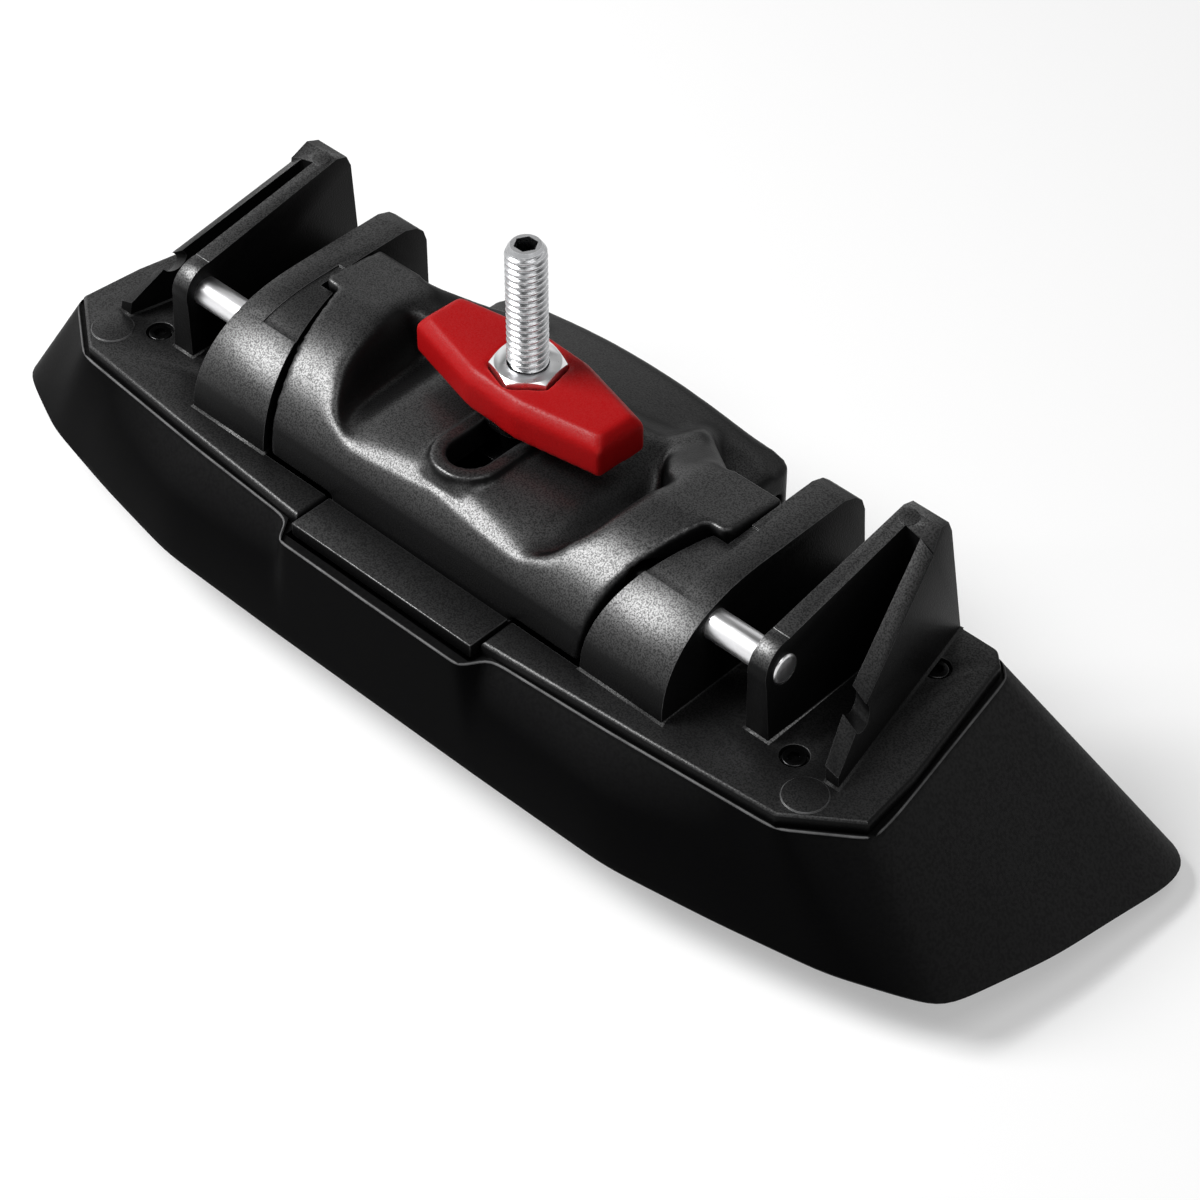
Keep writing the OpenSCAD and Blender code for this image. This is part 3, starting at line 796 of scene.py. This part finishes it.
def voxelBody(name, bm, size):
    body = newObject(name, bm)
    mod = body.modifiers.new("even", "REMESH")
    mod.mode = "VOXEL"
    mod.voxel_size = size / 1000
    bakeModifiers(body)
    return body


def readMesh(mesh):
    co = np.empty(len(mesh.vertices) * 3)
    mesh.vertices.foreach_get("co", co)
    edges = np.empty(len(mesh.edges) * 2, dtype=np.int64)
    mesh.edges.foreach_get("vertices", edges)
    normals = np.empty(len(mesh.vertices) * 3)
    mesh.vertex_normals.foreach_get("vector", normals)
    return co.reshape(-1, 3), edges.reshape(-1, 2), normals.reshape(-1, 3)


def meanOfNeighbours(co, edges):
    total = np.zeros_like(co)
    np.add.at(total, edges[:, 0], co[edges[:, 1]])
    np.add.at(total, edges[:, 1], co[edges[:, 0]])
    count = np.bincount(edges.ravel(), minlength=len(co))[:, None]
    return total / np.maximum(count, 1)


def soften(co, edges, times, weight=1.0):
    for _ in range(times):
        co += relax * weight * (meanOfNeighbours(co, edges) - co)


def markBulge(body, co, edges, size, limits):
    # what still bulges after softening gets edge wear and painted highlight
    normals = readMesh(body.data)[2]
    bulge = -np.sum((meanOfNeighbours(co, edges) - co) * normals, axis=1) / size
    wearHighlight = body.data.attributes.new("edgeWearHighlight", "FLOAT", "POINT")
    wearHighlight.data.foreach_set("value", ramp(bulge, *limits))


# the red grip: every edge rolls over
gripSet = {"voxel": 0.4, "soft": 16, "wearHighlight": (0.04, 0.11), "smooth": 60}


def makeGrip():
    s = gripSet
    body = voxelBody("wingGrip", cleanCopy("wing_grip"), s["voxel"])
    co, edges = readMesh(body.data)[:2]
    soften(co, edges, s["soft"])
    body.data.vertices.foreach_set("co", co.ravel())
    body.data.update()
    markBulge(body, co, edges, s["voxel"] / 1000, s["wearHighlight"])
    settle(body, ["wing_grip"], s["smooth"])
    print("grip made:", len(body.data.polygons), "faces")


makeGrip()


# the cradle: recess, ridges and tail blend softly, slot and front stay crisp
cradleSet = {"voxel": 0.6, "even": 3, "soft": 46, "wearHighlight": (0.05, 0.2), "smooth": 50,
             "halfWidth": (41.0, 38.0), "front": (2.0, 7.0), "under": (5.5, 6.5), "facing": (-0.3, 0.0),
             "slot": (14.2, 38.0), "ring": (8.6, 12.0), "groove": -0.35}
# the bed of the recess rolls down towards its front edge
bedSet = {"high": 14.9, "radius": 80.0, "reach": 40.0, "back": 10.0, "tilt": 0.02968, "wide": 20.0,
          "edgeY": 6.0, "edgeBack": 2.0, "edgeZ": 14.3, "edgeFall": 2.2, "top": 16.1, "topFall": 0.8,
          "run": 18.0, "half": (29.0, 22.0), "facing": (0.3, 0.6), "front": (3.0, 4.5),
          "near": (2.2, 1.2), "ring": (7.6, 9.6)}
toeSet = {"half": 23.8, "front": -10.1, "rear": 3.0, "depth": 3.0, "step": -0.7, "edge": 0.25}


def fromSlot(co):
    x, y = co[:, 0], co[:, 1]
    return np.hypot(x, y - np.clip(y, *cradleSet["slot"]))


def softWeight(co, normals):
    s = cradleSet
    x, y, z = co[:, 0], co[:, 1], co[:, 2]
    w = ramp(np.abs(x), *s["halfWidth"]) * ramp(y, *s["front"]) * ramp(z, *s["under"])
    w *= ramp(normals[:, 2], *s["facing"])
    return w * ramp(fromSlot(co), *s["ring"])


def bedRise(co, normals):
    s = bedSet
    x, y, z = co[:, 0], co[:, 1], co[:, 2]
    out = (x / s["wide"]) ** 2
    crown = np.sqrt(s["radius"] ** 2 - np.minimum(np.abs(x), s["reach"]) ** 2)
    now = s["high"] - s["radius"] + crown + (y + s["back"]) * s["tilt"]
    low = s["edgeZ"] - s["edgeFall"] * out
    run = np.clip((y - s["edgeY"] + s["edgeBack"] * out) / s["run"], 0, 1)
    want = low + (s["top"] - s["topFall"] * out - low) * (1 - (1 - run) ** 2)
    fade = ramp(np.abs(x), *s["half"]) * ramp(normals[:, 2], *s["facing"])
    fade = fade * ramp(y, *s["front"]) * ramp(np.abs(z - now), *s["near"])
    return (want - now) * fade * ramp(fromSlot(co), *s["ring"])


def toeTab():
    s = toeSet
    groove = cradleSet["groove"]
    side = [(s["front"], -s["depth"]), (s["rear"], -s["depth"]), (s["rear"], s["step"]),
            (groove, s["step"]), (groove, 0.0), (s["front"], 0.0)]
    tab = newObject("toeTab", pulled([at(-s["half"], y, z) for y, z in side], 0, 2 * s["half"]))
    roundEdges(tab, s["edge"])
    return tab


def cradleBody():
    # the solid without its toe tab
    bm = cleanCopy("cradle")
    every = list(bm.verts) + list(bm.edges) + list(bm.faces)
    cut = bmesh.ops.bisect_plane(bm, geom=every, plane_co=at(0, cradleSet["groove"] / 2, 0),
                                 plane_no=(0, 1, 0), clear_inner=True)["geom_cut"]
    bmesh.ops.holes_fill(bm, edges=[e for e in cut if isinstance(e, bmesh.types.BMEdge)])
    return voxelBody("clampCradle", bm, cradleSet["voxel"])


def makeCradle():
    s = cradleSet
    body = cradleBody()
    co, edges, normals = readMesh(body.data)
    shift = np.array(at(0, 0, 0)) * 1000
    co = co * 1000 - shift
    soften(co, edges, s["even"])
    co[:, 2] += bedRise(co, normals)
    soften(co, edges, s["soft"], softWeight(co, normals)[:, None])
    body.data.vertices.foreach_set("co", ((co + shift) / 1000).ravel())
    body.data.update()
    markBulge(body, co, edges, s["voxel"], s["wearHighlight"])
    tab = toeTab()
    bm = editMesh(body)
    bm.from_mesh(tab.data)
    storeMesh(bm, body.data)
    dropObject(tab)
    settle(body, ["cradle"], s["smooth"])
    print("cradle made:", len(body.data.polygons), "faces")


makeCradle()


# geometry nodes: what repeats is grown by a tree
def newTree(name, sizes, others):
    tree = bpy.data.node_groups.new(name, "GeometryNodeTree")
    for label in sizes:
        tree.interface.new_socket(label, in_out="INPUT", socket_type="NodeSocketFloat")
    for label, kind in others.items():
        tree.interface.new_socket(label, in_out="INPUT", socket_type=kind)
    tree.interface.new_socket("Geometry", in_out="OUTPUT", socket_type="NodeSocketGeometry")
    return tree, tree.nodes.new("NodeGroupInput"), tree.nodes.new("NodeGroupOutput")


def endTree(tree, geometry, i, o):
    real = tree.nodes.new("GeometryNodeRealizeInstances")
    tree.links.new(geometry, real.inputs[0])
    paint = tree.nodes.new("GeometryNodeSetMaterial")
    tree.links.new(real.outputs[0], paint.inputs["Geometry"])
    tree.links.new(i.outputs["Material"], paint.inputs["Material"])
    tree.links.new(paint.outputs[0], o.inputs[0])


def grow(name, tree, values):
    obj = newObject(name, bmesh.new())
    mod = obj.modifiers.new("grow", "NODES")
    mod.node_group = tree
    for item in tree.interface.items_tree:
        if item.in_out == "INPUT":
            mod[item.identifier] = values[item.name]
    bakeModifiers(obj)
    return obj


# the stud: a helix cut into a round bar by moving its skin inwards
studSet = {"radius": 3.97, "neck": 3.6, "low": 2.0, "free": 29.6, "top": 56.5, "back": 29.6,
           "pitch": 1.411, "depth": 0.62, "crest": 0.16, "flank": 0.68, "lead": 1.6, "leadIn": 1.05,
           "sides": 72, "rows": 300, "socket": 2.31, "socketDepth": 4.0, "clear": 2.0, "overlap": 0.5,
           "wearHighlightAngle": 14, "socketShadeDepth": 1.0, "socketShadeWide": 1.02, "smooth": 50}


def makeThreadTree():
    s = studSet
    tree, i, o = newTree("threadTree", ("Radius", "Length", "Pitch", "Depth", "Lead", "Lead In"),
                         {"Material": "NodeSocketMaterial"})
    radius, length = i.outputs["Radius"], i.outputs["Length"]

    def calc(op, a, b=None, clamp=False):
        return mathNode(tree, op, a, b, clamp)

    bar = tree.nodes.new("GeometryNodeMeshCylinder")
    bar.inputs["Vertices"].default_value = s["sides"]
    bar.inputs["Side Segments"].default_value = s["rows"]
    tree.links.new(radius, bar.inputs["Radius"])
    tree.links.new(length, bar.inputs["Depth"])
    split = tree.nodes.new("ShaderNodeSeparateXYZ")
    tree.links.new(tree.nodes.new("GeometryNodeInputPosition").outputs[0], split.inputs[0])
    x, y, z = split.outputs
    turn = calc("DIVIDE", calc("ARCTAN2", y, x), 2 * math.pi)
    phase = calc("FRACT", calc("SUBTRACT", calc("DIVIDE", z, i.outputs["Pitch"]), turn))
    wave = calc("ABSOLUTE", calc("SUBTRACT", calc("MULTIPLY", phase, 2.0), 1.0))
    flank = calc("DIVIDE", calc("SUBTRACT", wave, s["crest"]), s["flank"], True)
    cut = calc("SUBTRACT", radius, calc("MULTIPLY", flank, i.outputs["Depth"]))
    # the top runs out in a cone
    fromTop = calc("SUBTRACT", calc("MULTIPLY", length, 0.5), z)
    short = calc("MAXIMUM", calc("SUBTRACT", 1.0, calc("DIVIDE", fromTop, i.outputs["Lead"])), 0.0)
    tip = calc("SUBTRACT", radius, calc("MULTIPLY", short, i.outputs["Lead In"]))
    scale = calc("DIVIDE", calc("MINIMUM", cut, tip), radius)
    join = tree.nodes.new("ShaderNodeCombineXYZ")
    for k, v in enumerate((calc("MULTIPLY", x, scale), calc("MULTIPLY", y, scale), z)):
        tree.links.new(v, join.inputs[k])
    move = tree.nodes.new("GeometryNodeSetPosition")
    tree.links.new(bar.outputs["Mesh"], move.inputs["Geometry"])
    tree.links.new(join.outputs[0], move.inputs["Position"])
    endTree(tree, move.outputs[0], i, o)
    return tree


def makeStud():
    s = studSet
    length = s["top"] - s["free"]
    sizes = {"Radius": s["radius"], "Length": length, "Pitch": s["pitch"], "Depth": s["depth"],
             "Lead": s["lead"], "Lead In": s["leadIn"]}
    values = {label: size / 1000 for label, size in sizes.items()}
    values["Material"] = mats[slotOf["clamp_stud"]]
    stud = grow("clampStud", makeThreadTree(), values)
    stud.data.transform(Matrix.Translation(at(0, s["back"], s["free"] + length / 2)))
    cutBy(stud, barrel("socketCut", 0, s["back"], s["socket"], s["top"] - s["socketDepth"],
                       s["top"] + s["clear"], hexSides))
    neck = barrel("studNeck", 0, s["back"], s["neck"], s["low"], s["free"] + s["overlap"])
    cutBy(stud, neck, "UNION")
    # the edges carry the wear and painted highlight mask
    markWearHighlight(stud, s["wearHighlightAngle"])
    # painted shade: the inside of the socket is painted dark
    middle = at(0, s["back"], s["top"])
    socketShade = stud.data.attributes.new("socketShade", "FLOAT", "POINT")
    for v, value in zip(stud.data.vertices, socketShade.data):
        off = v.co - middle
        near = math.hypot(off.x, off.y) < s["socket"] * s["socketShadeWide"] / 1000
        value.value = 1.0 if near and off.z < -s["socketShadeDepth"] / 1000 else 0.0
    settle(stud, ["clamp_stud"], s["smooth"])


makeStud()
print("stud made")

# the plate screws: one head and shank, set at four points
screwSet = {"seat": -1.58, "headRadius": 2.3, "headHeight": 1.35, "headSides": 40, "edge": 0.28,
            "shank": 1.5, "shankSides": 32, "overlap": 0.2, "length": 10.0, "socket": 1.35,
            "socketDepth": 0.95, "clear": 3.0, "seed": 7}


def makeScrew():
    s = screwSet
    head = barrel("plateScrew", 0, 0, s["headRadius"], 0, s["headHeight"], s["headSides"])
    roundEdges(head, s["edge"])
    low = s["headHeight"] - s["socketDepth"]
    cutBy(head, barrel("driveCut", 0, 0, s["socket"], low, s["clear"], hexSides))
    shank = barrel("shank", 0, 0, s["shank"], -s["length"], s["overlap"], s["shankSides"])
    cutBy(head, shank, "UNION")
    head.data.transform(Matrix.Translation(-at(0, 0, 0)))
    return head


def makeScrewTree():
    tree, i, o = newTree("screwTree", ("Wide Front", "Front", "Wide Rear", "Rear", "Seat"),
                         {"Screw": "NodeSocketObject", "Material": "NodeSocketMaterial"})
    info = tree.nodes.new("GeometryNodeObjectInfo")
    tree.links.new(i.outputs["Screw"], info.inputs["Object"])
    join = tree.nodes.new("GeometryNodeJoinGeometry")
    for wide, deep in (("Wide Front", "Front"), ("Wide Rear", "Rear")):
        line = tree.nodes.new("GeometryNodeMeshLine")
        line.mode = "END_POINTS"
        line.inputs["Count"].default_value = 2
        for end, sign in (("Start Location", 1.0), ("Offset", -1.0)):
            spot = tree.nodes.new("ShaderNodeCombineXYZ")
            tree.links.new(mathNode(tree, "MULTIPLY", i.outputs[wide], sign), spot.inputs[0])
            tree.links.new(i.outputs[deep], spot.inputs[1])
            tree.links.new(i.outputs["Seat"], spot.inputs[2])
            tree.links.new(spot.outputs[0], line.inputs[end])
        tree.links.new(line.outputs[0], join.inputs[0])
    put = tree.nodes.new("GeometryNodeInstanceOnPoints")
    tree.links.new(join.outputs[0], put.inputs["Points"])
    tree.links.new(info.outputs["Geometry"], put.inputs["Instance"])
    # each head was driven home at its own angle
    turn = tree.nodes.new("FunctionNodeRandomValue")
    turn.data_type = "FLOAT_VECTOR"
    turn.inputs["Max"].default_value = (0.0, 0.0, 2 * math.pi)
    turn.inputs["Seed"].default_value = screwSet["seed"]
    tree.links.new(turn.outputs["Value"], put.inputs["Rotation"])
    endTree(tree, put.outputs[0], i, o)
    return tree


def makeScrews():
    front, rear = [at(x, y, screwSet["seat"]) for x, y in screwSpots]
    screw = makeScrew()
    row = grow("plateScrews", makeScrewTree(), {
        "Screw": screw, "Wide Front": front.x, "Front": front.y, "Wide Rear": rear.x, "Rear": rear.y,
        "Seat": front.z, "Material": mats[slotOf["plate_screw_fl"]]})
    dropObject(screw)
    settle(row, ["plate_screw_fl", "plate_screw_fr", "plate_screw_rl", "plate_screw_rr"])


makeScrews()
print("screws made")

# solids that stay as they are get their finish
for node, obj in nodes.items():
    if slotOf[node]:
        obj.data.materials.clear()
        obj.data.materials.append(mats[slotOf[node]])

# floor, lamps and white surround
stageSet = {"floor": (0.6, 0.6, 0.6), "rough": 0.9, "size": 6.0, "lift": (0.4, 1.0),
            "liftRun": (0.35, 1.9), "ambient": 0.05, "wall": 0.5, "ceiling": 0.72, "high": 0.1}
lampSet = [("keyLeft", (-547, -446, 834), 0.5, 15.5), ("topSoft", (300, -60, 1000), 0.5, 2.0),
           ("sideRight", (760, -110, 740), 0.4, 0.8)]
lampAim = (0, 20, 0)


def seenRays(tree):
    # camera, mirror and clear rays meet the white surround
    path = tree.nodes.new("ShaderNodeLightPath")
    seen = mathNode(tree, "MAXIMUM", path.outputs["Is Camera Ray"], path.outputs["Is Glossy Ray"])
    return mathNode(tree, "MAXIMUM", seen, path.outputs["Is Transmission Ray"])


def makeFloor():
    s = stageSet
    bm = bmesh.new()
    bmesh.ops.create_grid(bm, x_segments=1, y_segments=1, size=s["size"])
    floor = newObject("studioFloor", bm)
    m, t, shader, coord = startMaterial("studioFloor")
    shader.inputs["Base Color"].default_value = s["floor"] + (1.0,)
    shader.inputs["Roughness"].default_value = s["rough"]
    shader.inputs["Specular IOR Level"].default_value = 0.0
    shader.inputs["Emission Color"].default_value = (1.0, 1.0, 1.0, 1.0)
    # the lamps fade with distance, so the white lift grows
    away = t.nodes.new("ShaderNodeVectorMath")
    away.operation = "LENGTH"
    t.links.new(coord, away.inputs[0])
    lift = mapRange(t, away.outputs["Value"], s["liftRun"], s["lift"])
    t.links.new(mathNode(t, "MULTIPLY", seenRays(t), lift), shader.inputs["Emission Strength"])
    floor.data.materials.append(m)


def makeLamps():
    for name, eye, size, power in lampSet:
        data = bpy.data.lights.new(name, "AREA")
        data.size = size
        data.energy = power
        lamp = bpy.data.objects.new(name, data)
        scene.collection.objects.link(lamp)
        lamp.location = at(*eye)
        lamp.rotation_euler = (at(*lampAim) - lamp.location).to_track_quat("-Z", "Y").to_euler()


def makeSurround():
    s = stageSet
    world = bpy.data.worlds.new("studioWorld")
    scene.world = world
    world.use_nodes = True
    t = world.node_tree
    back = t.nodes["Background"]
    t.links.new(mapRange(t, seenRays(t), (0.0, 1.0), (s["ambient"], 1.0)), back.inputs["Strength"])
    # white walls all round under a dim ceiling
    split = t.nodes.new("ShaderNodeSeparateXYZ")
    t.links.new(t.nodes.new("ShaderNodeTexCoord").outputs["Generated"], split.inputs[0])
    rise = mapRange(t, split.outputs[2], (s["wall"], s["ceiling"]), (1.0, s["high"]))
    t.links.new(rise, back.inputs["Color"])


makeFloor()
makeLamps()
makeSurround()
print("stage made")
